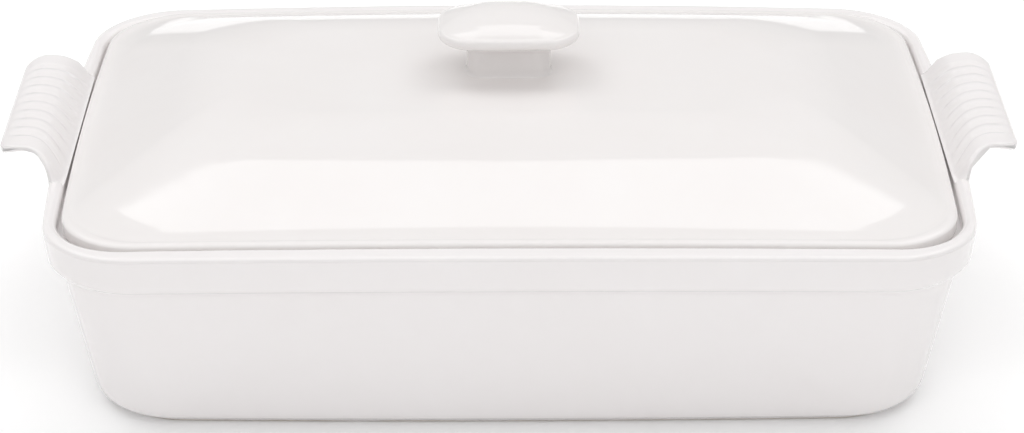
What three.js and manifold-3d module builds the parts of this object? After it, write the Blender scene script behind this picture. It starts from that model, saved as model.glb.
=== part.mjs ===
// Covered stoneware baker: an oblong dish with two ribbed wing handles, and a domed lid with a knob.
// Millimetres, +Z up. The origin is on the table under the middle of the dish, X runs through the handles.
import * as THREE from 'three';
import { mergeVertices } from 'three/addons/utils/BufferGeometryUtils.js';
import Module from 'manifold-3d';

// Rim of the dish, seen from above: a rounded oblong whose sides swell outwards
const RIM_LENGTH = 340;
const RIM_WIDTH = 221;
const RIM_HEIGHT = 75;
const RIM_CORNER = 30;
const RIM_END_BOW = 5.5;
const RIM_SIDE_BOW = 2;
const RIM_ARCH = 2.1;
const RIM_LAND = 6.8;
const RIM_EDGE_RADIUS = 2.2;

// Mouth and gallery: the step inside the rim that carries the lid
const MOUTH_CORNER = 27;
const MOUTH_END_BOW = 2.2;
const MOUTH_SIDE_BOW = 1.2;
const MOUTH_EDGE_RADIUS = 1;
const GALLERY_DEPTH = 5;
const LEDGE_WIDTH = 6;

// Band under the rim, wall and base of the dish
const BAND_HEIGHT = 14;
const BAND_TAPER = 1;
const BAND_STEP = 2.5;
const BAND_STEP_HEIGHT = 2;
const WALL_SLOPE_DEGREES = 8.8;
const WALL_CORNER = 29;
const WALL_END_BOW = 1;
const WALL_THICKNESS = 8;
const BASE_EDGE_RISE = 9;
const BASE_EDGE_RUN = 5.5;
const FLOOR_THICKNESS = 9;
const FLOOR_FILLET = 14;
const FLOOR_CORNER = 24;

// Foot ring that the dish stands on
const FOOT_HEIGHT = 3;
const FOOT_SET_BACK = 0.4;
const FOOT_RING_WIDTH = 10;
const FOOT_EDGE = 0.8;
const FOOT_RECESS = 2;

// Wing handles. The wing's top line is a curve of four points, measured out from the rim's end and up from its top.
const HANDLE_ROOT_OUT = -9;
const HANDLE_ROOT_UP = -8;
const HANDLE_RISE_OUT = -4.8;
const HANDLE_RISE_UP = 4.5;
const HANDLE_CREST_OUT = 3.9;
const HANDLE_CREST_UP = 17.5;
const HANDLE_LIP_OUT = 17.8;
const HANDLE_LIP_UP = 9.3;
const HANDLE_ROOT_THICKNESS = 7.5;
const HANDLE_LIP_THICKNESS = 4;
const HANDLE_END_THICKNESS = 2.8;
const HANDLE_THINNING_POWER = 4;
const HANDLE_EDGE_CHAMFER = 0.8;
const HANDLE_EDGE_MARGIN = 1.5;
const HANDLE_LENGTH = 82;
const HANDLE_ROOT_LENGTH = 97;
const HANDLE_CORNER = 9;
const GROOVE_COUNT = 9;
const GROOVE_DEPTH = 1.1;
const GROOVE_PITCH = 7.6;
const GROOVE_WIDTH = 4.6;
const GROOVE_START_UP = -0.5;
const GROOVE_STOP_OUT = 17;
const GROOVE_FADE = 3;
const SEAM = 0.3;

// Lid
const LID_PLAY = 1;
const LID_SEAT_GAP = 0.3;
const LID_CORNER = 31;
const LID_END_BOW = 2.8;
const LID_THICKNESS = 6;
const LID_EDGE_CHAMFER = 1;
const LID_FLANGE = 8;
const BEAD_WIDTH = 3.4;
const BEAD_RISE = 1.5;
const COVE_WIDTH = 2.8;
const COVE_RISE = 0.3;
const DOME_RISE = 19.5;
const DOME_SLOPE_RUN = 30;
const DOME_SHOULDER_RUN = 30.5;
const DOME_TOP_WIDTH = 32;
const DOME_CORNER_SHRINK = 0.12;

// Knob on the lid
const STEM_LENGTH = 31.5;
const STEM_WIDTH = 16;
const STEM_CORNER = 7;
const STEM_FOOT_FLARE = 1.6;
const STEM_NECK_FLARE = 5;
const STEM_HEIGHT = 14;
const CAP_LENGTH = 53;
const CAP_WIDTH = 37;
const CAP_CORNER = 12;
const CAP_SIDE_BOW = 1.2;
const CAP_EDGE_DROP = 3;
const CAP_EDGE_TUCK = 4.5;
const CAP_SHOULDER_RISE = 2;
const CAP_SHOULDER_TUCK = 1.2;
const CAP_CROWN = 5.9;
const CAP_CROWN_POWER = 2.2;
const CAP_TOP_SHARE = 0.12;

// Largest corner radius, as a share of a plan's half width, and counts of facets
const CORNER_LIMIT = 0.98;
const CORNER_STEPS = 6;
const SIDE_STEPS = 6;
const END_STEPS = 4;
const ARC_STEPS = 3;
const DOME_STEPS = 7;
const WING_STEPS = 9;

const wasm = await Module();
wasm.setup();

const QUARTER = Math.PI / 2;
const mix = (from, to, share) => from + (to - from) * share;
const steps = (count) => Array.from({ length: count + 1 }, (_, index) => index / count);

// A plan is a rounded oblong with bowed sides: the same oblong drawn in by a distance, or part-way to another.
const drawnIn = (plan, distance) => ({
  ...plan,
  length: plan.length - 2 * distance,
  width: plan.width - 2 * distance,
});
const between = (from, to, share) => Object.fromEntries(
  Object.keys(from).map((key) => [key, mix(from[key], to[key], share)]),
);

// Points round a plan, anticlockwise from above: four straight stretches and four corner arcs, then the bow.
function planPoints({ length, width, corner, endBow, sideBow }) {
  const halfLength = length / 2 - endBow;
  const halfWidth = width / 2 - sideBow;
  const radius = Math.min(corner, CORNER_LIMIT * halfLength, CORNER_LIMIT * halfWidth);
  const points = [];
  for (let quadrant = 0; quadrant < 4; quadrant += 1) {
    const alongEnd = quadrant % 2 === 0;
    const signX = quadrant === 0 || quadrant === 3 ? 1 : -1;
    const signY = quadrant < 2 ? 1 : -1;
    const centreX = signX * (halfLength - radius);
    const centreY = signY * (halfWidth - radius);
    const start = quadrant * QUARTER;
    const straight = alongEnd ? END_STEPS : SIDE_STEPS;
    const runX = alongEnd ? 0 : 2 * centreX;
    const runY = alongEnd ? 2 * centreY : 0;
    for (const share of steps(straight).slice(0, -1)) {
      points.push([
        centreX + radius * Math.cos(start) - runX * (1 - share),
        centreY + radius * Math.sin(start) - runY * (1 - share),
      ]);
    }
    for (const share of steps(CORNER_STEPS).slice(0, -1)) {
      const angle = start + share * QUARTER;
      points.push([centreX + radius * Math.cos(angle), centreY + radius * Math.sin(angle)]);
    }
  }
  return points.map(([x, y]) => [
    x * (1 + (endBow / halfLength) * (1 - (y / halfWidth) ** 2)),
    y * (1 + (sideBow / halfWidth) * (1 - (x / halfLength) ** 2)),
  ]);
}

// One ring of a loft at height z, arched upwards at mid-length.
function ring(plan, z, arch = 0) {
  return planPoints(plan).map(([x, y]) => [x, y, z + arch * (1 - (2 * x / RIM_LENGTH) ** 2)]);
}

function geometryOf(points, triangles) {
  const geometry = new THREE.BufferGeometry();
  geometry.setAttribute('position', new THREE.Float32BufferAttribute(points.flat(), 3));
  geometry.setIndex(triangles.flat());
  geometry.computeVertexNormals();
  return geometry;
}

// Closed skin from a point on the axis, through the rings in order, to another point on the axis.
function loft(firstZ, rings, lastZ) {
  const count = rings[0].length;
  const points = [[0, 0, firstZ], ...rings.flat(), [0, 0, lastZ]];
  const last = points.length - 1;
  const triangles = [];
  for (let index = 0; index < count; index += 1) {
    const next = (index + 1) % count;
    triangles.push([0, 1 + next, 1 + index]);
    for (let row = 0; row < rings.length - 1; row += 1) {
      const near = 1 + row * count;
      const far = near + count;
      triangles.push([near + index, near + next, far + next]);
      triangles.push([near + index, far + next, far + index]);
    }
    triangles.push([last - count + index, last - count + next, last]);
  }
  return geometryOf(points, triangles);
}

// Boolean cut of one closed geometry by another.
function cut(geometry, tool) {
  const solids = [geometry, tool].map((source) => {
    const bare = source.clone();
    bare.deleteAttribute('normal');
    const merged = mergeVertices(bare);
    const mesh = new wasm.Mesh({
      numProp: 3,
      vertProperties: new Float32Array(merged.attributes.position.array),
      triVerts: new Uint32Array(merged.index.array),
    });
    return new wasm.Manifold(mesh);
  });
  const result = solids[0].subtract(solids[1]).getMesh();
  const left = new THREE.BufferGeometry();
  left.setAttribute('position', new THREE.Float32BufferAttribute(result.vertProperties, 3));
  left.setIndex([...result.triVerts]);
  left.computeVertexNormals();
  return left;
}

// Heights and plans that the dish and the lid share
const wallTopZ = RIM_HEIGHT - BAND_HEIGHT - BAND_STEP_HEIGHT;
const ledgeZ = RIM_HEIGHT - GALLERY_DEPTH;
const floorZ = FOOT_RECESS + FLOOR_THICKNESS;
const wallSlope = Math.tan(THREE.MathUtils.degToRad(WALL_SLOPE_DEGREES));
const wallInset = (z) => BAND_TAPER + BAND_STEP + (wallTopZ - z) * wallSlope;
const rimPlan = {
  length: RIM_LENGTH,
  width: RIM_WIDTH,
  corner: RIM_CORNER,
  endBow: RIM_END_BOW,
  sideBow: RIM_SIDE_BOW,
};
const mouthPlan = {
  ...drawnIn(rimPlan, RIM_LAND),
  corner: MOUTH_CORNER,
  endBow: MOUTH_END_BOW,
  sideBow: MOUTH_SIDE_BOW,
};

// The wall keeps the rim's corners, but its ends are straighter than the rim's.
const wallFrame = {
  ...rimPlan,
  length: RIM_LENGTH - 2 * (RIM_END_BOW - WALL_END_BOW),
  corner: WALL_CORNER,
  endBow: WALL_END_BOW,
};

// The arch grows from nothing at the floor to its full height under the band.
const archAt = (z) => RIM_ARCH * THREE.MathUtils.clamp((z - floorZ) / (wallTopZ - floorZ), 0, 1);
const archedRing = (plan, z) => ring(plan, z, archAt(z));

// Outside of the dish from the wall's foot up over the rim, moved outwards by grow.
function outsideRings(grow) {
  const edgeStart = Math.atan(wallSlope * BASE_EDGE_RISE / BASE_EDGE_RUN);
  const edgeZ = FOOT_HEIGHT + BASE_EDGE_RISE;
  const wallFootZ = edgeZ - BASE_EDGE_RISE * Math.sin(edgeStart);
  const edgeInset = wallInset(wallFootZ) + BASE_EDGE_RUN * Math.cos(edgeStart);
  const footPlan = drawnIn(wallFrame, edgeInset + FOOT_SET_BACK);
  const wallPlan = (inset) => drawnIn(wallFrame, inset - grow);
  const baseEdge = steps(ARC_STEPS + 1).map((share) => {
    const angle = mix(QUARTER, edgeStart, share);
    const inset = edgeInset - BASE_EDGE_RUN * Math.cos(angle);
    return archedRing(wallPlan(inset), edgeZ - BASE_EDGE_RISE * Math.sin(angle));
  });
  const rimEdge = steps(ARC_STEPS).map((share) => {
    const inset = RIM_EDGE_RADIUS * (1 - Math.cos(share * QUARTER));
    const z = RIM_HEIGHT - RIM_EDGE_RADIUS * (1 - Math.sin(share * QUARTER));
    return archedRing(drawnIn(rimPlan, inset - grow), z + grow * share);
  });
  const rings = [
    ...baseEdge,
    archedRing(wallPlan(BAND_TAPER + BAND_STEP), wallTopZ),
    archedRing(drawnIn(rimPlan, BAND_TAPER - grow), RIM_HEIGHT - BAND_HEIGHT),
    ...rimEdge,
  ];
  return { rings, footPlan };
}

// Dish: up from the recess under the base, over the foot ring, wall and rim, and down inside to the floor.
function dishGeometry() {
  const { rings: outside, footPlan } = outsideRings(0);
  const footRings = [
    ring(drawnIn(footPlan, FOOT_RING_WIDTH + FOOT_RECESS), FOOT_RECESS),
    ring(drawnIn(footPlan, FOOT_RING_WIDTH), 0),
    ring(drawnIn(footPlan, FOOT_EDGE), 0),
    ring(footPlan, FOOT_EDGE),
    ring(footPlan, FOOT_HEIGHT),
  ];
  const mouthEdge = steps(ARC_STEPS - 1).map((share) => {
    const outset = MOUTH_EDGE_RADIUS * (1 - Math.sin(share * QUARTER));
    const drop = MOUTH_EDGE_RADIUS * (1 - Math.cos(share * QUARTER));
    return archedRing(drawnIn(mouthPlan, -outset), RIM_HEIGHT - drop);
  });
  const ledgePlan = drawnIn(mouthPlan, LEDGE_WIDTH);
  const filletZ = floorZ + FLOOR_FILLET;
  const wallFootInset = wallInset(filletZ) + WALL_THICKNESS;
  const floorWallPlan = { ...drawnIn(wallFrame, wallFootInset), corner: FLOOR_CORNER };
  const floorFillet = steps(ARC_STEPS + 1).map((share) => {
    const inset = FLOOR_FILLET * (1 - Math.cos(share * QUARTER));
    return archedRing(drawnIn(floorWallPlan, inset), filletZ - FLOOR_FILLET * Math.sin(share * QUARTER));
  });
  const rings = [
    ...footRings,
    ...outside,
    ...mouthEdge,
    archedRing(mouthPlan, ledgeZ),
    archedRing(ledgePlan, ledgeZ),
    ...floorFillet,
  ];
  return loft(FOOT_RECESS, rings, floorZ);
}

// Wing handle at the +X end: a sheet under an arched top line, carried along Y and thinner towards its two ends.
// Each station across the wing is a share of its length there, so the grooves fan out.
function handleGeometry() {
  const { clamp } = THREE.MathUtils;
  const topLine = new THREE.CubicBezierCurve(
    new THREE.Vector2(HANDLE_ROOT_OUT, HANDLE_ROOT_UP),
    new THREE.Vector2(HANDLE_RISE_OUT, HANDLE_RISE_UP),
    new THREE.Vector2(HANDLE_CREST_OUT, HANDLE_CREST_UP),
    new THREE.Vector2(HANDLE_LIP_OUT, HANDLE_LIP_UP),
  );
  const tipOut = HANDLE_LIP_OUT + HANDLE_LIP_THICKNESS / 2;
  const cornerStart = tipOut - HANDLE_CORNER;
  const halfLengthAt = (out) => {
    const flare = clamp((cornerStart - out) / (cornerStart - HANDLE_ROOT_OUT), 0, 1);
    const intoCorner = clamp((out - cornerStart) / HANDLE_CORNER, 0, 1);
    const rounding = HANDLE_CORNER * (1 - Math.sqrt(1 - intoCorner ** 2));
    return HANDLE_LENGTH / 2 + flare ** 2 * (HANDLE_ROOT_LENGTH - HANDLE_LENGTH) / 2 - rounding;
  };
  const stationAt = (y) => 2 * y / HANDLE_LENGTH;
  const grooves = Array.from({ length: GROOVE_COUNT }, (_, index) => (index - (GROOVE_COUNT - 1) / 2) * GROOVE_PITCH);
  const grooveAt = (across, top) => {
    const nearest = Math.min(...grooves.map((groove) => Math.abs(across - stationAt(groove))));
    const fade = Math.min((top.y - GROOVE_START_UP) / GROOVE_FADE, (GROOVE_STOP_OUT - top.x) / GROOVE_FADE);
    return GROOVE_DEPTH * clamp(1 - nearest / stationAt(GROOVE_WIDTH / 2), 0, 1) * clamp(fade, 0, 1);
  };
  const edge = 1 - stationAt(HANDLE_EDGE_MARGIN);
  const inner = grooves.flatMap((groove) => [groove - GROOVE_WIDTH / 2, groove, groove + GROOVE_WIDTH / 2]);
  const stations = [-1, -edge, ...inner.map(stationAt), edge, 1];

  const section = (across) => {
    const chamfer = Math.abs(across) === 1 ? HANDLE_EDGE_CHAMFER : 0;
    const thicknessAt = (share) => {
      const middle = mix(HANDLE_ROOT_THICKNESS, HANDLE_LIP_THICKNESS, share);
      return mix(middle, HANDLE_END_THICKNESS, Math.abs(across) ** HANDLE_THINNING_POWER);
    };
    const upper = [];
    const under = [];
    for (const share of steps(WING_STEPS)) {
      const top = topLine.getPoint(share);
      const along = topLine.getTangent(share);
      const down = new THREE.Vector2(along.y, -along.x);
      upper.push(top.clone().addScaledVector(down, chamfer + grooveAt(across, top)));
      under.push(top.clone().addScaledVector(down, thicknessAt(share) - chamfer));
    }
    const along = topLine.getTangent(1);
    const half = thicknessAt(1) / 2;
    const tip = topLine.getPoint(1).add(new THREE.Vector2(along.x + along.y, along.y - along.x).multiplyScalar(half));
    return [...upper, tip, ...under.reverse()].map(({ x: out, y: up }) => [
      RIM_LENGTH / 2 + out,
      across * halfLengthAt(out),
      RIM_HEIGHT + up,
    ]);
  };
  const loops = stations.map(section);
  const count = loops[0].length;
  const triangles = [];
  for (let row = 0; row < loops.length - 1; row += 1) {
    for (let index = 0; index < count; index += 1) {
      const next = (index + 1) % count;
      const near = row * count;
      const far = near + count;
      triangles.push([near + index, near + next, far + next], [near + index, far + next, far + index]);
    }
  }
  const lastLoop = (loops.length - 1) * count;
  for (let index = 0; index < (count - 1) / 2; index += 1) {
    const opposite = count - 1 - index;
    const corners = [index, index + 1, opposite - 1, opposite];
    const faces = opposite - 1 === index + 1 ? [[0, 1, 3]] : [[0, 1, 2], [0, 2, 3]];
    for (const [a, b, c] of faces) {
      triangles.push([corners[a], corners[c], corners[b]]);
      triangles.push([lastLoop + corners[a], lastLoop + corners[b], lastLoop + corners[c]]);
    }
  }
  const wing = geometryOf(loops.flat(), triangles);
  const { rings } = outsideRings(SEAM);
  return cut(wing, loft(FOOT_HEIGHT, rings, RIM_HEIGHT + RIM_ARCH + SEAM));
}

// Lid: out under the dome to the flange, up the edge, over the bead and cove, and up the dome.
const lidPlan = { ...drawnIn(mouthPlan, LID_PLAY), corner: LID_CORNER, endBow: LID_END_BOW };
const lidSeatZ = ledgeZ + LID_SEAT_GAP;
const coveZ = RIM_HEIGHT + BEAD_RISE + COVE_RISE;
const domeTopZ = coveZ + DOME_RISE + RIM_ARCH;

function lidGeometry() {
  const domePlan = drawnIn(lidPlan, BEAD_WIDTH + COVE_WIDTH);
  const slope = DOME_RISE / (DOME_SLOPE_RUN + DOME_SHOULDER_RUN / 2);
  const domeRing = (inset, depth) => {
    const plan = { ...drawnIn(domePlan, inset), corner: LID_CORNER - DOME_CORNER_SHRINK * inset };
    const climbed = Math.min(inset, DOME_SLOPE_RUN + DOME_SHOULDER_RUN);
    const bend = Math.max(climbed - DOME_SLOPE_RUN, 0) ** 2 / (2 * DOME_SHOULDER_RUN);
    return ring(plan, coveZ + slope * (climbed - bend) - depth, RIM_ARCH);
  };
  const upDome = [
    ...steps(DOME_STEPS).map((share) => DOME_SLOPE_RUN + DOME_SHOULDER_RUN * share),
    (domePlan.width - DOME_TOP_WIDTH) / 2,
  ];
  const underDomeStart = LID_FLANGE - BEAD_WIDTH - COVE_WIDTH;
  const beadRadius = BEAD_WIDTH / 2;
  const bead = steps(ARC_STEPS + 1).map((share) => {
    const angle = share * Math.PI;
    const inset = beadRadius * (1 - Math.cos(angle));
    const z = RIM_HEIGHT + BEAD_RISE - beadRadius * (1 - Math.sin(angle));
    return ring(drawnIn(lidPlan, inset), share === 1 ? RIM_HEIGHT + BEAD_RISE / 2 : z, RIM_ARCH);
  });
  const rings = [
    ...[underDomeStart, ...upDome].reverse().map((inset) => domeRing(inset, LID_THICKNESS)),
    ring(drawnIn(lidPlan, LID_FLANGE - LID_EDGE_CHAMFER), lidSeatZ, RIM_ARCH),
    ring(drawnIn(lidPlan, LID_EDGE_CHAMFER), lidSeatZ, RIM_ARCH),
    ring(lidPlan, lidSeatZ + LID_EDGE_CHAMFER, RIM_ARCH),
    ...bead,
    ...[0, ...upDome].map((inset) => domeRing(inset, 0)),
  ];
  return loft(domeTopZ - LID_THICKNESS, rings, domeTopZ);
}

// Knob: a waisted oblong stem under a broad, gently crowned cap, standing on the top of the dome.
function knobGeometry() {
  const stemPlan = { length: STEM_LENGTH, width: STEM_WIDTH, corner: STEM_CORNER, endBow: 0, sideBow: 0 };
  const capPlan = { length: CAP_LENGTH, width: CAP_WIDTH, corner: CAP_CORNER, endBow: 0, sideBow: CAP_SIDE_BOW };
  const baseZ = domeTopZ + SEAM;
  const underZ = baseZ + STEM_HEIGHT;
  const edgeZ = underZ + CAP_EDGE_DROP;
  const shoulderZ = edgeZ + CAP_SHOULDER_RISE;
  const foot = steps(ARC_STEPS).map((share) => {
    const outset = STEM_FOOT_FLARE * (1 - Math.sin(share * QUARTER));
    return ring(drawnIn(stemPlan, -outset), baseZ + STEM_FOOT_FLARE * (1 - Math.cos(share * QUARTER)));
  });
  const neck = steps(ARC_STEPS).map((share) => {
    const outset = STEM_NECK_FLARE * (1 - Math.cos(share * QUARTER));
    return ring(drawnIn(stemPlan, -outset), underZ - STEM_NECK_FLARE * (1 - Math.sin(share * QUARTER)));
  });
  const capEdge = steps(ARC_STEPS).map((share) => {
    const inset = CAP_EDGE_TUCK * (1 - Math.sin(share * QUARTER));
    return ring(drawnIn(capPlan, inset), edgeZ - CAP_EDGE_DROP * Math.cos(share * QUARTER));
  });
  const crownFoot = drawnIn(capPlan, CAP_SHOULDER_TUCK);
  const crownTop = {
    length: crownFoot.length * CAP_TOP_SHARE,
    width: crownFoot.width * CAP_TOP_SHARE,
    corner: CAP_CORNER,
    endBow: 0,
    sideBow: 0,
  };
  const crown = steps(2 * ARC_STEPS).map((share) => {
    const left = 1 - share * (1 - CAP_TOP_SHARE);
    return ring(between(crownFoot, crownTop, share), shoulderZ + CAP_CROWN * (1 - left ** CAP_CROWN_POWER));
  });
  return loft(baseZ, [...foot, ...neck, ...capEdge, ...crown], shoulderZ + CAP_CROWN);
}

// Glossy white glaze over every piece, a touch warmer on the lid
const dishGlaze = () => new THREE.MeshStandardMaterial({ color: 0xf1f0ed, roughness: 0.16, metalness: 0 });
const lidGlaze = () => new THREE.MeshStandardMaterial({ color: 0xf0eee9, roughness: 0.16, metalness: 0 });

function piece(name, geometry, material) {
  const mesh = new THREE.Mesh(geometry, material);
  mesh.name = name;
  return mesh;
}

const dish = new THREE.Group();
const handle = handleGeometry();
const rightHandle = piece('right_handle', handle, dishGlaze());
const leftHandle = piece('left_handle', handle, dishGlaze());
leftHandle.rotation.z = Math.PI;
dish.add(piece('dish_body', dishGeometry(), dishGlaze()), leftHandle, rightHandle);

const lid = new THREE.Group();
lid.add(piece('lid_shell', lidGeometry(), lidGlaze()), piece('lid_knob', knobGeometry(), lidGlaze()));

const baker = new THREE.Group();
baker.add(dish, lid);
export default baker;
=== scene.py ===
from math import cos, pi, radians, sin

import bpy
import numpy as np
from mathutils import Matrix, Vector


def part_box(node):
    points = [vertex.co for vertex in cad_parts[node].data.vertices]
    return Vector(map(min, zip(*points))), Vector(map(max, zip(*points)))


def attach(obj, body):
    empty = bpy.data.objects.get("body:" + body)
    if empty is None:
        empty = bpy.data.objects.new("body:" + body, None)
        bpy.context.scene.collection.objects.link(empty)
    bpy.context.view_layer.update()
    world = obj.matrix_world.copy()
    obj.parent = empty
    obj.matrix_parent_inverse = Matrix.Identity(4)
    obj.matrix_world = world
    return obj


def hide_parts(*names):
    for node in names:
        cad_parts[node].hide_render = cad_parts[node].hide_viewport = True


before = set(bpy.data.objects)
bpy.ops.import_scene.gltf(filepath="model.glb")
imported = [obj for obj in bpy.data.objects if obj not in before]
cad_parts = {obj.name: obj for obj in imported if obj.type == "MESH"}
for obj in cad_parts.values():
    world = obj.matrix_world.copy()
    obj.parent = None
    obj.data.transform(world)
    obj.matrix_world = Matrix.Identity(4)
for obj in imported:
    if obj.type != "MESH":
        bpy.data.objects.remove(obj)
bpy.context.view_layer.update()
scene = bpy.context.scene

# Camera: the photograph's place, in front of the dish and well above it, with a long lens.
# The aim point lies on the plane of the rim, and the picture is 1024 by 433.
camera_data = bpy.data.cameras.new("camera")
camera_data.sensor_fit = "HORIZONTAL"
camera_data.sensor_width = 36
camera_data.lens = 103.67
camera = bpy.data.objects.new("camera", camera_data)
camera_elevation = radians(27.567)
camera_yaw = radians(0.375)
camera_distance = 1.0567
camera_aim = Vector((0.00074, -0.07581, 0.075))
sight = Vector((
    sin(camera_yaw) * cos(camera_elevation),
    cos(camera_yaw) * cos(camera_elevation),
    -sin(camera_elevation),
))
camera.location = camera_aim - camera_distance * sight
camera.rotation_euler = sight.to_track_quat("-Z", "Y").to_euler()
scene.collection.objects.link(camera)
scene.camera = camera

# Studio: a white paper floor in a light tent, with a wide lamp over the dish and a softer light in front.
# The tent's back wall and its skirt are darker. The edge of the back wall bounds the bright field on the lid.
scene.view_settings.view_transform = "Standard"
tent_lamp = 2.30
tent_front = 1.50
tent_roof = 0.60
tent_skirt = 0.60
tent_back = 0.55
# Each zone ends softly between two values of a direction: its height for the skirt, its sideways lean squared
# for the side ends, and its lean to the front or the back for the others
skirt_end = (0.35, 0.60)
lamp_front_end = (-0.05, 0.02)
lamp_side_end = (1.0, 0.64)
front_upper_end = (0.50, 0.65)
front_lower_end = (1.70, 1.45)
front_side_end = (2.2, 1.4)
back_wall_end = (0.322, 0.338)
back_wall_side_weight = 20.0


def feed(tree, socket, value):
    """Gives a socket a number or a colour, or links another node's output to it."""
    if isinstance(value, bpy.types.NodeSocket):
        tree.links.new(value, socket)
    else:
        socket.default_value = value


def math_node(tree, operation, *values):
    """The result of a Math node. Each value is a number or another node's output."""
    node = tree.nodes.new("ShaderNodeMath")
    node.operation = operation
    for socket, value in zip(node.inputs, values):
        feed(tree, socket, value)
    return node.outputs[0]


def range_node(tree, value, ends, low=0.0, high=1.0, curve="LINEAR"):
    """Low where a value is at the first of two ends, high at the second, and held at those past the ends."""
    node = tree.nodes.new("ShaderNodeMapRange")
    node.interpolation_type = curve
    feed(tree, node.inputs["Value"], value)
    feed(tree, node.inputs["From Min"], ends[0])
    feed(tree, node.inputs["From Max"], ends[1])
    feed(tree, node.inputs["To Min"], low)
    feed(tree, node.inputs["To Max"], high)
    return node.outputs["Result"]


def mix_node(tree, kind, share, first, second):
    """A mix of two numbers or two colours: the first at a share of nothing, the second at a share of 1."""
    node = tree.nodes.new("ShaderNodeMix")
    node.data_type = kind
    for name, value in (("Factor", share), ("A", first), ("B", second)):
        feed(tree, node.inputs[name], value)
    return node.outputs["Result"]


tent = bpy.data.worlds.new("tent")
tent.use_nodes = True
tent_tree = tent.node_tree


def tent_edge(value, ends):
    """A soft edge in the tent: nothing at the first of two ends, all at the second, a smooth step between."""
    return range_node(tent_tree, value, ends, curve="SMOOTHSTEP")


tent_place = tent_tree.nodes.new("ShaderNodeTexCoord")
tent_axes = tent_tree.nodes.new("ShaderNodeSeparateXYZ")
tent_tree.links.new(tent_place.outputs["Generated"], tent_axes.inputs["Vector"])
across, backward, upward = (tent_axes.outputs[axis] for axis in "XYZ")
across_square = math_node(tent_tree, "MULTIPLY", across, across)
upward_square = math_node(tent_tree, "MULTIPLY", upward, upward)
side_lean = math_node(tent_tree, "DIVIDE", across_square, upward_square)
front_lean = math_node(tent_tree, "DIVIDE", math_node(tent_tree, "MULTIPLY", backward, -1.0), upward)
# The back wall is met where a direction leans back far enough for how high and how far aside it points
side_weight = math_node(tent_tree, "MULTIPLY", across_square, back_wall_side_weight)
back_reach = math_node(tent_tree, "SQRT", math_node(tent_tree, "ADD", upward_square, side_weight))
back_lean = math_node(tent_tree, "DIVIDE", backward, back_reach)
in_front = math_node(
    tent_tree, "MULTIPLY", tent_edge(front_lean, front_upper_end), tent_edge(front_lean, front_lower_end)
)
in_front = math_node(tent_tree, "MULTIPLY", in_front, tent_edge(side_lean, front_side_end))
in_lamp = math_node(
    tent_tree, "MULTIPLY", tent_edge(back_lean, lamp_front_end), tent_edge(side_lean, lamp_side_end)
)
tent_strength = mix_node(tent_tree, "FLOAT", tent_edge(upward, skirt_end), tent_skirt, tent_roof)
tent_strength = mix_node(tent_tree, "FLOAT", in_front, tent_strength, tent_front)
tent_strength = mix_node(tent_tree, "FLOAT", in_lamp, tent_strength, tent_lamp)
tent_strength = mix_node(tent_tree, "FLOAT", tent_edge(back_lean, back_wall_end), tent_strength, tent_back)
tent_tree.links.new(tent_strength, tent_tree.nodes["Background"].inputs["Strength"])
tent_tree.nodes["Background"].inputs["Color"].default_value = (1, 1, 1, 1)
scene.world = tent

floor_half = 4.0
floor_corners = [(x * floor_half, y * floor_half, 0) for x, y in ((-1, -1), (1, -1), (1, 1), (-1, 1))]
floor_mesh = bpy.data.meshes.new("floor")
floor_mesh.from_pydata(floor_corners, [], [(0, 1, 2, 3)])
floor = bpy.data.objects.new("floor", floor_mesh)
scene.collection.objects.link(floor)
paper_lift = 0.06
paper = bpy.data.materials.new("paper")
paper.use_nodes = True
paper_tree = paper.node_tree
paper_shader = paper_tree.nodes["Principled BSDF"]
paper_shader.inputs["Base Color"].default_value = (0.97, 0.97, 0.97, 1)
paper_shader.inputs["Roughness"].default_value = 1.0
paper_shader.inputs["Specular IOR Level"].default_value = 0.0
# What is seen of the paper is lifted towards white, without lighting the dish any more, and keeps its shadow
ray = paper_tree.nodes.new("ShaderNodeLightPath").outputs
seen = math_node(paper_tree, "MAXIMUM", ray["Is Camera Ray"], ray["Is Glossy Ray"])
seen = math_node(paper_tree, "MAXIMUM", seen, ray["Is Transmission Ray"])
lift = paper_tree.nodes.new("ShaderNodeEmission")
lifted = paper_tree.nodes.new("ShaderNodeAddShader")
paper_tree.links.new(math_node(paper_tree, "MULTIPLY", seen, paper_lift), lift.inputs["Strength"])
paper_tree.links.new(paper_shader.outputs["BSDF"], lifted.inputs[0])
paper_tree.links.new(lift.outputs["Emission"], lifted.inputs[1])
paper_tree.links.new(lifted.outputs["Shader"], paper_tree.nodes["Material Output"].inputs["Surface"])
floor.data.materials.append(paper)

# Dish: one piece of pressed stoneware, glazed white all over but for the foot ring that it was fired on.
# It has a bowed rim with a flat land, a step inside the rim for the lid, a band below it, sloping walls and a
# recessed base.
_, dish_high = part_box("dish_body")
rim_half_length = dish_high.x
rim_half_width = dish_high.y
rim_arch = 0.0021
rim_z = dish_high.z - rim_arch
rim_corner = 0.030
rim_end_bow = 0.0055
rim_side_bow = 0.0020
rim_land = 0.0068
rim_edge_round = 0.0030
mouth_corner = 0.027
mouth_end_bow = 0.0022
mouth_side_bow = 0.0012
mouth_edge_round = 0.0012
mouth_edge_lean = 0.0003
mouth_end_roll = 0.0020
mouth_roll_drop = 0.0016
mouth_closeness = 0.0007
mouth_end_play = 0.0006
gallery_depth = 0.005
ledge_width = 0.006
band_height = 0.014
band_taper = 0.001
band_step = 0.0025
band_step_height = 0.002
wall_slope = 0.1548
wall_corner = 0.029
wall_end_bow = 0.001
wall_thickness = 0.008
base_edge_rise = 0.009
base_edge_run = 0.0055
base_edge_lip = 0.0005
floor_thickness = 0.009
floor_fillet = 0.014
floor_corner = 0.024
floor_draft = 0.0012
floor_cap_inset = 0.060
foot_height = 0.003
foot_set_back = 0.0004
foot_ring_width = 0.010
foot_recess = 0.002
foot_recess_run = 0.0025
foot_cap_inset = 0.030
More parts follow.
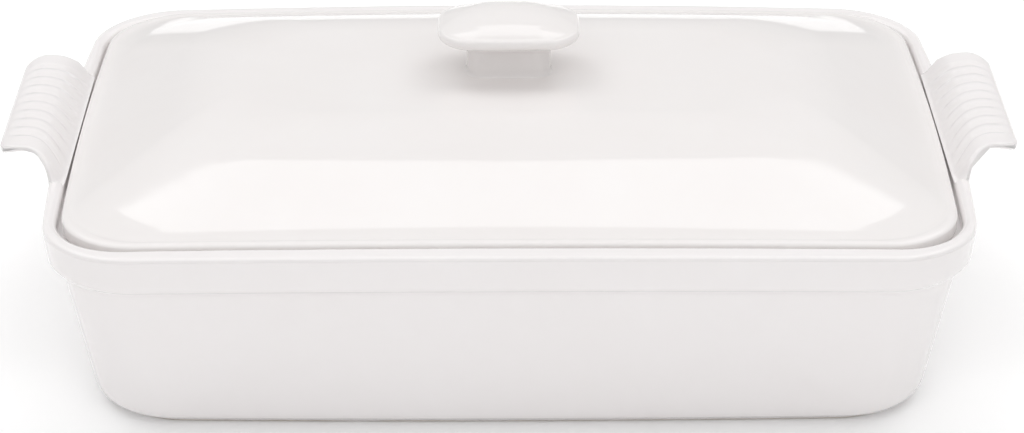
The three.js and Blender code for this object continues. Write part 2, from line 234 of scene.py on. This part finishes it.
roundest = 0.98
corner_steps = 26
end_steps = 30
side_steps = 44


def oblong_stations():
    """Where each point of an outline belongs: the corner centre it hangs on, as shares, and its angle.

    Along a straight stretch the share runs from one corner to the next at a fixed angle. Round a corner the
    share stays and the angle turns by a quarter.
    """
    stretches = []
    for share_x, share_y, quarter in ((1, 1, 0), (-1, 1, 1), (-1, -1, 2), (1, -1, 3)):
        along_end = quarter % 2 == 0
        steps = end_steps if along_end else side_steps
        run = 2 * np.arange(steps) / steps - 1
        still = np.ones(steps)
        run_x = share_x * (still if along_end else run)
        run_y = share_y * (run if along_end else still)
        stretches.append(np.stack([run_x, run_y, quarter * pi / 2 * still]))
        turned = (quarter + np.arange(corner_steps) / corner_steps) * pi / 2
        stretches.append(np.stack([np.full(corner_steps, share_x), np.full(corner_steps, share_y), turned]))
    return np.concatenate(stretches, axis=1)


def oblong_surface(profile):
    """Points of a surface made of outlines stacked along a profile, as profile rows by outline points.

    Each profile row holds half length, half width, corner radius, end bow, side bow, height and arch. An
    outline is a rounded oblong whose ends and sides swell by the bows, most at their middles and not at all
    at the corners. The arch lifts it at mid-length, falling off with the square of the distance to the ends
    of the rim.
    """
    half_length, half_width, corner, end_bow, side_bow, height, arch = (c[:, None] for c in profile.T)
    share_x, share_y, angle = oblong_stations()
    a = half_length - end_bow
    b = half_width - side_bow
    radius = np.minimum(corner, roundest * np.minimum(a, b))
    x = share_x * (a - radius) + radius * np.cos(angle)
    y = share_y * (b - radius) + radius * np.sin(angle)
    bowed_x = x * (1 + end_bow / a * (1 - (y / b) ** 2))
    bowed_y = y * (1 + side_bow / b * (1 - (x / a) ** 2))
    z = height + arch * (1 - (bowed_x / rim_half_length) ** 2)
    return np.stack([bowed_x, bowed_y, np.broadcast_to(z, x.shape)], axis=-1)


def rounded(rows, cuts, steps=6):
    """A profile with its corners rounded: each one is replaced by a quadratic curve.

    The curve starts the cut's length before the corner and ends the same length after it, measured in half
    width and height. No cut takes more than half of the stretch it lies on.
    """
    rows = np.asarray(rows, float)
    out = [rows[:1]]
    t = np.linspace(0, 1, steps + 1)[:, None]
    for i in range(1, len(rows) - 1):
        before, corner, after = rows[i - 1], rows[i], rows[i + 1]
        if cuts[i] == 0:
            out.append(corner[None])
            continue
        back = min(0.5, cuts[i] / np.hypot(*(before - corner)[[1, 5]]))
        ahead = min(0.5, cuts[i] / np.hypot(*(after - corner)[[1, 5]]))
        start = corner + (before - corner) * back
        end = corner + (after - corner) * ahead
        out.append((1 - t) ** 2 * start + 2 * t * (1 - t) * corner + t**2 * end)
    out.append(rows[-1:])
    return np.concatenate(out)


def skin(name, grid):
    """A smooth mesh object over a grid of points whose rows close on themselves, capped flat at both ends."""
    rows, columns, _ = grid.shape
    index = np.arange(rows * columns).reshape(rows, columns)
    ahead = np.roll(index, -1, axis=1)
    quads = np.stack([index[:-1], ahead[:-1], ahead[1:], index[1:]], axis=-1).reshape(-1, 4)
    faces = quads.tolist()
    faces.append(index[0, ::-1].tolist())
    faces.append(index[-1].tolist())
    mesh = bpy.data.meshes.new(name)
    mesh.from_pydata(grid.reshape(-1, 3).tolist(), [], faces)
    mesh.shade_smooth()
    piece = bpy.data.objects.new(name, mesh)
    scene.collection.objects.link(piece)
    return piece


wall_top_z = rim_z - band_height - band_step_height
ledge_z = rim_z - gallery_depth
floor_z = foot_recess + floor_thickness


def dish_arch(z):
    """The arch grows evenly from nothing at the floor to its full height where the band starts."""
    return rim_arch * min(max((z - floor_z) / (wall_top_z - floor_z), 0), 1)


def rim_row(inset, z):
    """A profile row at a distance in from the outer edge of the rim."""
    half_length = rim_half_length - inset
    half_width = rim_half_width - inset
    return (half_length, half_width, rim_corner, rim_end_bow, rim_side_bow, z, dish_arch(z))


def wall_row(inset, z, corner=wall_corner):
    """A profile row at a distance in from the rim's edge, with the straighter ends that the walls have."""
    half_length = rim_half_length - rim_end_bow + wall_end_bow - inset
    half_width = rim_half_width - inset
    return (half_length, half_width, corner, wall_end_bow, rim_side_bow, z, dish_arch(z))


def mouth_row(inset, z, end_roll=0.0):
    """A profile row at a distance in from the mouth, which is closer to the lid at its sides than ends."""
    half_length = rim_half_length - rim_land - inset + mouth_end_play + end_roll
    half_width = rim_half_width - rim_land - inset - mouth_closeness
    return (half_length, half_width, mouth_corner, mouth_end_bow, mouth_side_bow, z, dish_arch(z))


def wall_inset(z):
    """How far in from the rim's edge the wall stands at a height."""
    return band_taper + band_step + (wall_top_z - z) * wall_slope


base_inset = wall_inset(foot_height + base_edge_rise) + base_edge_run
foot_inset = base_inset + foot_set_back
ring_inset = foot_inset + foot_ring_width
inside_inset = wall_inset(floor_z + floor_fillet) + wall_thickness
# From the base round the outside, over the rim and down to the floor, each corner with the cut that rounds it
dish_corners = [
    (wall_row(ring_inset + foot_cap_inset, foot_recess), 0),
    (wall_row(ring_inset + foot_recess_run, foot_recess), 0.0015),
    (wall_row(ring_inset, 0), 0.0006),
    (wall_row(foot_inset, 0), 0.0009),
    (wall_row(foot_inset, foot_height), 0.0004),
    (wall_row(base_inset - base_edge_lip, foot_height), 0.0003),
    (wall_row(wall_inset(foot_height), foot_height), 0.0062),
    (wall_row(band_taper + band_step, wall_top_z), 0.0040),
    (rim_row(band_taper, rim_z - band_height), 0.0016),
    (rim_row(0, rim_z - rim_edge_round), 0.0020),
    (rim_row(0, rim_z), rim_edge_round),
    (mouth_row(-mouth_edge_lean, rim_z, mouth_end_roll), mouth_edge_round),
    (mouth_row(0, rim_z - mouth_roll_drop), mouth_edge_round),
    (mouth_row(0, ledge_z), 0.0010),
    (mouth_row(ledge_width, ledge_z), 0.0018),
    (wall_row(inside_inset, floor_z + floor_fillet, floor_corner), 0.002),
    (wall_row(inside_inset + floor_draft, floor_z, floor_corner), floor_fillet),
    (wall_row(inside_inset + floor_cap_inset, floor_z, floor_corner), 0),
]
dish_profile = rounded([row for row, _ in dish_corners], [cut for _, cut in dish_corners], steps=7)
dish = skin("dish", oblong_surface(dish_profile))
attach(dish, "dish")
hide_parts("dish_body")

glaze_cloud_part = 0.75
glaze_thin_ends = (0.35, 0.65)
glaze_gloss_ends = (0.3, 0.7)
glaze_pitting = 0.06
glaze_smoothest = 0.04
glaze_roughest = 0.08
glaze_bump = 0.25
glaze_relief = 0.00012
glaze_ior = 1.52


def noise_node(tree, place, scale, detail):
    """Noise of a scale per metre and a number of finer layers, at a place that another node gives."""
    node = tree.nodes.new("ShaderNodeTexNoise")
    node.inputs["Scale"].default_value = scale
    node.inputs["Detail"].default_value = detail
    tree.links.new(place, node.inputs["Vector"])
    return node.outputs["Fac"]


def glaze_group():
    """White glaze as it lies on clay: colour, roughness and a height for a bump, from noise in object space.

    A broad cloud mixes the full glaze with the thinner one, and a fine mottle follows it at a third of the
    strength. The same mottle moves the roughness between its two limits. The height is a slow ripple with a
    little fine pitting on it, as a fired glaze has.
    """
    group = bpy.data.node_groups.new("glaze", "ShaderNodeTree")
    for name, in_out, kind in (
        ("Full", "INPUT", "NodeSocketColor"),
        ("Thin", "INPUT", "NodeSocketColor"),
        ("Smoothest", "INPUT", "NodeSocketFloat"),
        ("Roughest", "INPUT", "NodeSocketFloat"),
        ("Color", "OUTPUT", "NodeSocketColor"),
        ("Roughness", "OUTPUT", "NodeSocketFloat"),
        ("Height", "OUTPUT", "NodeSocketFloat"),
    ):
        group.interface.new_socket(name, in_out=in_out, socket_type=kind)
    given = group.nodes.new("NodeGroupInput").outputs
    result = group.nodes.new("NodeGroupOutput").inputs
    place = group.nodes.new("ShaderNodeTexCoord").outputs["Object"]
    cloud = noise_node(group, place, scale=22.0, detail=2.0)
    mottle = noise_node(group, place, scale=130.0, detail=3.0)
    ripple = noise_node(group, place, scale=75.0, detail=1.0)
    pitting = noise_node(group, place, scale=900.0, detail=2.0)
    mottle_part = math_node(group, "MULTIPLY", mottle, 1 - glaze_cloud_part)
    unevenness = math_node(group, "MULTIPLY_ADD", cloud, glaze_cloud_part, mottle_part)
    thin_share = range_node(group, unevenness, glaze_thin_ends)
    colour = mix_node(group, "RGBA", thin_share, given["Full"], given["Thin"])
    roughness = range_node(group, mottle, glaze_gloss_ends, given["Smoothest"], given["Roughest"])
    height = math_node(group, "MULTIPLY_ADD", pitting, glaze_pitting, ripple)
    group.links.new(colour, result["Color"])
    group.links.new(roughness, result["Roughness"])
    group.links.new(height, result["Height"])
    return group


glaze = glaze_group()


def glazed(name, full, thin):
    """A material of the glaze with its own two colours."""
    material = bpy.data.materials.new(name)
    material.use_nodes = True
    tree = material.node_tree
    shader = tree.nodes["Principled BSDF"]
    coat = tree.nodes.new("ShaderNodeGroup")
    coat.name = "glaze"
    coat.node_tree = glaze
    coat.inputs["Full"].default_value = full
    coat.inputs["Thin"].default_value = thin
    coat.inputs["Smoothest"].default_value = glaze_smoothest
    coat.inputs["Roughest"].default_value = glaze_roughest
    bump = tree.nodes.new("ShaderNodeBump")
    bump.inputs["Strength"].default_value = glaze_bump
    bump.inputs["Distance"].default_value = glaze_relief
    tree.links.new(coat.outputs["Color"], shader.inputs["Base Color"])
    tree.links.new(coat.outputs["Roughness"], shader.inputs["Roughness"])
    tree.links.new(coat.outputs["Height"], bump.inputs["Height"])
    tree.links.new(bump.outputs["Normal"], shader.inputs["Normal"])
    shader.inputs["IOR"].default_value = glaze_ior
    return material


# The foot ring is wiped bare before firing: pale clay up to a wavering line just above the table
wipe_wander = 0.0010
wipe_ends = (0.0008, 0.0012)
clay_dark = (0.62, 0.56, 0.48, 1)
clay_pale = (0.78, 0.72, 0.64, 1)
clay_roughness = 0.8
dish_glaze = glazed("dish_glaze", (0.880, 0.852, 0.850, 1), (0.870, 0.840, 0.836, 1))
dish_tree = dish_glaze.node_tree
dish_coat = dish_tree.nodes["glaze"].outputs
dish_shader = dish_tree.nodes["Principled BSDF"]
dish_place = dish_tree.nodes.new("ShaderNodeTexCoord").outputs["Object"]
dish_axes = dish_tree.nodes.new("ShaderNodeSeparateXYZ")
dish_tree.links.new(dish_place, dish_axes.inputs["Vector"])
wipe_noise = noise_node(dish_tree, dish_place, scale=60.0, detail=2.0)
wipe_height = math_node(dish_tree, "MULTIPLY_ADD", wipe_noise, wipe_wander, dish_axes.outputs["Z"])
bare = range_node(dish_tree, wipe_height, wipe_ends, 1.0, 0.0)
clay_grain = noise_node(dish_tree, dish_place, scale=700.0, detail=4.0)
clay = mix_node(dish_tree, "RGBA", clay_grain, clay_dark, clay_pale)
dish_colour = mix_node(dish_tree, "RGBA", bare, dish_coat["Color"], clay)
dish_roughness = mix_node(dish_tree, "FLOAT", bare, dish_coat["Roughness"], clay_roughness)
dish_tree.links.new(dish_colour, dish_shader.inputs["Base Color"])
dish_tree.links.new(dish_roughness, dish_shader.inputs["Roughness"])
dish.data.materials.append(dish_glaze)

# Wing handles: two ribbed sheets of the same clay, stuck to the ends of the rim with slip and glazed with it.
# Each rises from the land in a hollow curve and bends over to a lip, with nine grooves across for fingers.
# The curves are given as distances out from the end of the rim and up from its land.
wing_rise = np.array([(-0.0072, -0.00015), (-0.0050, -0.00015), (-0.0036, 0.0046), (0.0010, 0.0087)])
wing_bend = np.array([(0.0010, 0.0087), (0.0042, 0.01155), (0.0113, 0.0129), (0.0174, 0.0093)])
wing_under = np.array([(-0.0004, -0.0030), (-0.0004, 0.0040), (0.0025, 0.0138), (0.0161, 0.0071)])
wing_middle_extra = 0.0010
wing_half_length = 0.041
wing_flare_start = 0.008
wing_flare_rate = 55.0
wing_corner = 0.009
wing_edge_round = 0.0016
wing_edge_closing = 0.995
wing_foot_width = 0.006
wing_end_crowding = 0.35
wing_end_start = 0.80
wing_end_delay = 0.16
wing_end_span = 0.20
wing_end_reach = 0.004
wing_end_shift = 0.0012
wing_end_sink = 0.0022
groove_count = 9
groove_pitch = 0.0074
groove_depth = 0.0005
groove_side_fade = 0.3
groove_end_fade = 0.004
groove_lip_end = 0.0160


def bezier(points, t):
    """Points of a cubic curve and the direction it runs in, for shares t of the way along."""
    p0, p1, p2, p3 = points
    t = t[:, None]
    place = (1 - t) ** 3 * p0 + 3 * t * (1 - t) ** 2 * p1 + 3 * t**2 * (1 - t) * p2 + t**3 * p3
    run = 3 * ((1 - t) ** 2 * (p1 - p0) + 2 * t * (1 - t) * (p2 - p1) + t**2 * (p3 - p2))
    return place, run / np.linalg.norm(run, axis=1, keepdims=True)


def wing_grooves(across, top):
    """Depth of the grooves: a raised cosine across the wing, faded at the lip, the land and the ends."""
    place = across * wing_half_length / groove_pitch
    depth = groove_depth * (0.5 + 0.5 * np.cos(2 * pi * place))
    depth *= np.clip((groove_count / 2 - np.abs(place)) / groove_side_fade, 0, 1)
    fade = np.clip(top[:, 1] / groove_end_fade, 0, 1)
    fade *= np.clip((groove_lip_end - top[:, 0]) / groove_end_fade, 0, 1)
    return depth[:, None] * fade


def wing_run_out(across, top):
    """How far the top has sunk into the land: a smooth step near each end that starts later off the foot."""
    off_foot = np.clip((top[:, 0] - top[0, 0]) / wing_foot_width, 0, 1)
    start = wing_end_start + wing_end_delay * off_foot
    share = np.clip((np.abs(across)[:, None] - start) / wing_end_span, 0, 1)
    return share**2 * (3 - 2 * share) * np.clip((wing_end_reach - top[:, 0]) / wing_end_reach, 0, 1)


def wing_grid():
    """Points of the right-hand wing as an array of sections by points round each section.

    A section is the top line out to the lip, half a turn round the lip and the underside back to the root. It
    is carried along the end of the dish, widens towards the root, and thins a little towards its two ends,
    where the top sinks into the land. The ends are squeezed to the middle of the sheet for soft edges.
    """
    share = np.linspace(0, 1, 25)
    first, first_run = bezier(wing_rise, share)
    second, second_run = bezier(wing_bend, share[1:])
    top = np.concatenate([first, second])
    run = np.concatenate([first_run, second_run])
    down = np.stack([run[:, 1], -run[:, 0]], axis=1)
    reach = np.linspace(0, 1, len(top))
    even = np.linspace(-1, 1, 261)
    across = wing_end_crowding * np.sin(even * pi / 2) + (1 - wing_end_crowding) * even

    upper = top + down * wing_grooves(across, top)[..., None]
    run_out = wing_run_out(across, top)
    upper[..., 0] += wing_end_shift * run_out
    upper[..., 1] += (-wing_end_sink - upper[..., 1]) * run_out
    extra = wing_middle_extra * (1 - across[:, None] ** 4) * (1 + np.sin(pi * reach))
    under = bezier(wing_under, reach)[0] + down * extra[..., None]
    lip_turn = np.linspace(0, pi, 11)[1:-1]
    lip_centre = (top[-1] + under[:, -1]) / 2
    lip_radius = np.linalg.norm(under[:, -1] - top[-1], axis=1) / 2
    lip = lip_centre[:, None] + lip_radius[:, None, None] * (
        np.cos(lip_turn)[:, None] * -down[-1] + np.sin(lip_turn)[:, None] * run[-1]
    )
    section = np.concatenate([upper, lip, under[:, ::-1]], axis=1)

    out = section[..., 0]
    corner_share = np.clip((out - out.max() + wing_corner) / wing_corner, 0, 1)
    half_length = (
        wing_half_length
        + wing_flare_rate * np.maximum(wing_flare_start - out, 0) ** 2
        - wing_corner * (1 - np.sqrt(1 - roundest * corner_share**2))
    )
    from_end = half_length - np.abs(across)[:, None] * half_length
    into_edge = np.clip((wing_edge_round - from_end) / wing_edge_round, 0, 1)
    squeeze = (1 - wing_edge_closing * into_edge**3) ** (1 / 3)
    facing = np.concatenate([under, (2 * lip_centre[:, None] - lip)[:, ::-1], upper[:, ::-1]], axis=1)
    middle = (section + facing) / 2
    section = middle + (section - middle) * squeeze[..., None]
    return np.stack([
        rim_half_length + section[..., 0],
        across[:, None] * half_length,
        rim_z + section[..., 1],
    ], axis=-1)


for side, way in (("right", 1), ("left", -1)):
    wing = skin(f"{side}_wing", wing_grid() * (way, way, 1))
    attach(wing, "dish")
    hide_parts(f"{side}_handle")
    wing.data.materials.append(dish_glaze)

# Lid: a pressed sheet of stoneware that drops into the step of the rim with a little play all round.
# A low rounded bead runs round its edge, then a shallow cove, and slopes rise from that to a flat top.
_, lid_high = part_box("lid_shell")
lid_half_length = lid_high.x
lid_half_width = lid_high.y
lid_edge_corner = 0.0275
lid_end_bow = 0.0028
lid_seat_z = ledge_z + 0.0003
lid_thickness = 0.006
lid_flange = 0.008
lid_flange_draft = 0.001
bead_run = 0.0022
bead_rise = 0.0015
bead_drop = 0.0005
bead_sweep = 0.60 * pi
cove_inset = 0.0045
cove_rise = 0.00107
dome_corner = 0.031
dome_corner_shrink = 0.12
dome_edge_inset = 0.0062
dome_edge_z = rim_z + 0.0018
dome_cove_run = 0.0045
dome_rise = 0.0195
dome_slope_run = 0.030
dome_shoulder_run = 0.0305
dome_top_inset = 0.088
dome_slope = dome_rise / (dome_slope_run + dome_shoulder_run / 2)


def lid_rows(inset, z, corner=lid_edge_corner):
    """Profile rows at distances in from the lid's edge, at heights z."""
    half_length = lid_half_length - inset
    half_width = lid_half_width - inset
    columns = (half_length, half_width, corner, lid_end_bow, mouth_side_bow, z, rim_arch)
    return np.stack(np.broadcast_arrays(*columns), axis=-1)


def dome_rows(inset, depth):
    """Profile rows of the dome at distances in from its edge, sunk by a depth.

    It climbs evenly along the slope, then less and less over the shoulder until it is level. The corners of
    the outline grow a little tighter with the distance.
    """
    climbed = np.minimum(inset, dome_slope_run + dome_shoulder_run)
    bend = np.maximum(climbed - dome_slope_run, 0) ** 2 / (2 * dome_shoulder_run)
    z = dome_edge_z + dome_slope * (climbed - bend) - depth
    return lid_rows(dome_edge_inset + inset, z, dome_corner - dome_corner_shrink * inset)


bead_turn = np.linspace(0, bead_sweep, 14)
bead_rows = lid_rows(bead_run * (1 - np.cos(bead_turn)), rim_z + bead_rise * np.sin(bead_turn))
# The cove is a quadratic curve from the bead to a point on the slope
cove_share = np.linspace(0, 1, 12)[1:, None]
cove_rows = (
    (1 - cove_share) ** 2 * bead_rows[-1]
    + 2 * cove_share * (1 - cove_share) * lid_rows(cove_inset, rim_z + cove_rise)
    + cove_share**2 * dome_rows(np.array([dome_cove_run]), 0)
)
dome_insets = np.concatenate([
    np.linspace(dome_cove_run, dome_slope_run, 16)[1:],
    dome_slope_run + dome_shoulder_run * np.linspace(0, 1, 24)[1:],
    np.linspace(dome_slope_run + dome_shoulder_run, dome_top_inset, 14)[1:],
])
hollow_insets = np.linspace(dome_top_inset, lid_flange - dome_edge_inset + lid_flange_draft, 40)
flange_insets = np.array([lid_flange - lid_flange_draft, 0, 0])
flange_z = np.array([lid_seat_z, lid_seat_z, rim_z - bead_drop])
flange_cuts = [0.0010, 0.0012, 0]
lid_under = rounded(
    np.concatenate([dome_rows(hollow_insets, lid_thickness), lid_rows(flange_insets, flange_z)]),
    [0] * len(hollow_insets) + flange_cuts,
)
lid_profile = np.concatenate([lid_under[:-1], bead_rows, cove_rows, dome_rows(dome_insets, 0)])
lid = skin("lid", oblong_surface(lid_profile))
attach(lid, "lid")
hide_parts("lid_shell")
lid_glaze = glazed("lid_glaze", (0.858, 0.831, 0.822, 1), (0.848, 0.817, 0.806, 1))
lid.data.materials.append(lid_glaze)

# Knob: an oblong stem that flares out of the lid and again under a broad, gently crowned cap for a gloved
# hand. It is pressed of the same clay, stuck to the top of the lid with slip, and glazed with it.
knob_low, knob_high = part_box("lid_knob")
stem_half_length = 0.01575
stem_half_width = 0.008
stem_corner = 0.007
stem_sink = 0.0008
stem_foot_flare = 0.0016
stem_neck_flare = 0.005
stem_height = 0.014
cap_half_length = knob_high.x
cap_half_width = knob_high.y
cap_corner = 0.012
cap_side_bow = 0.0012
cap_edge_drop = 0.003
cap_edge_tuck = 0.0045
cap_shoulder_rise = 0.002
cap_shoulder_tuck = 0.0012
cap_crown_power = 2.2
cap_top_share = 0.05
cap_under_z = knob_low.z + stem_height
cap_edge_z = cap_under_z + cap_edge_drop
cap_shoulder_z = cap_edge_z + cap_shoulder_rise


def knob_rows(half_length, half_width, corner, side_bow, z):
    """Profile rows of the knob, whose ends are straight and which has no arch."""
    columns = np.broadcast_arrays(half_length, half_width, corner, 0.0, side_bow, z, 0.0)
    return np.stack(columns, axis=-1)


def stem_rows(flare, z):
    """Profile rows of the stem, flared by a width all round."""
    return knob_rows(stem_half_length + flare, stem_half_width + flare, stem_corner + flare, 0.0, z)


def cap_rows(tuck, corner, z):
    """Profile rows of the cap, tucked in by a width all round."""
    return knob_rows(cap_half_length - tuck, cap_half_width - tuck, corner, cap_side_bow, z)


# Quarter turns make the foot, the neck, the cap's edge and its shoulder, and the crown is a power curve
turn = np.linspace(0, pi / 2, 12)
foot_flare = stem_foot_flare * (1 - np.sin(turn))
foot_z = knob_low.z - stem_sink + (stem_foot_flare + stem_sink) * (1 - np.cos(turn))
neck_flare = stem_neck_flare * (1 - np.cos(turn))
neck_z = cap_under_z - stem_neck_flare * (1 - np.sin(turn))
edge_tuck = cap_edge_tuck * (1 - np.sin(turn))
edge_z = cap_edge_z - cap_edge_drop * np.cos(turn)
shoulder_tuck = cap_shoulder_tuck * (1 - np.cos(turn[1:]))
shoulder_z = cap_edge_z + cap_shoulder_rise * np.sin(turn[1:])
crown_share = 1 - np.linspace(0, 1, 30)[1:] * (1 - cap_top_share)
crown_half_length = (cap_half_length - cap_shoulder_tuck) * crown_share
crown_half_width = (cap_half_width - cap_shoulder_tuck) * crown_share
crown_z = cap_shoulder_z + (knob_high.z - cap_shoulder_z) * (1 - crown_share**cap_crown_power)
knob_profile = np.concatenate([
    stem_rows(foot_flare, foot_z),
    stem_rows(neck_flare, neck_z),
    cap_rows(edge_tuck, cap_corner - edge_tuck, edge_z),
    cap_rows(shoulder_tuck, cap_corner, shoulder_z),
    knob_rows(crown_half_length, crown_half_width, cap_corner, cap_side_bow * crown_share, crown_z),
])
knob = skin("knob", oblong_surface(knob_profile))
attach(knob, "lid")
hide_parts("lid_knob")
knob.data.materials.append(lid_glaze)
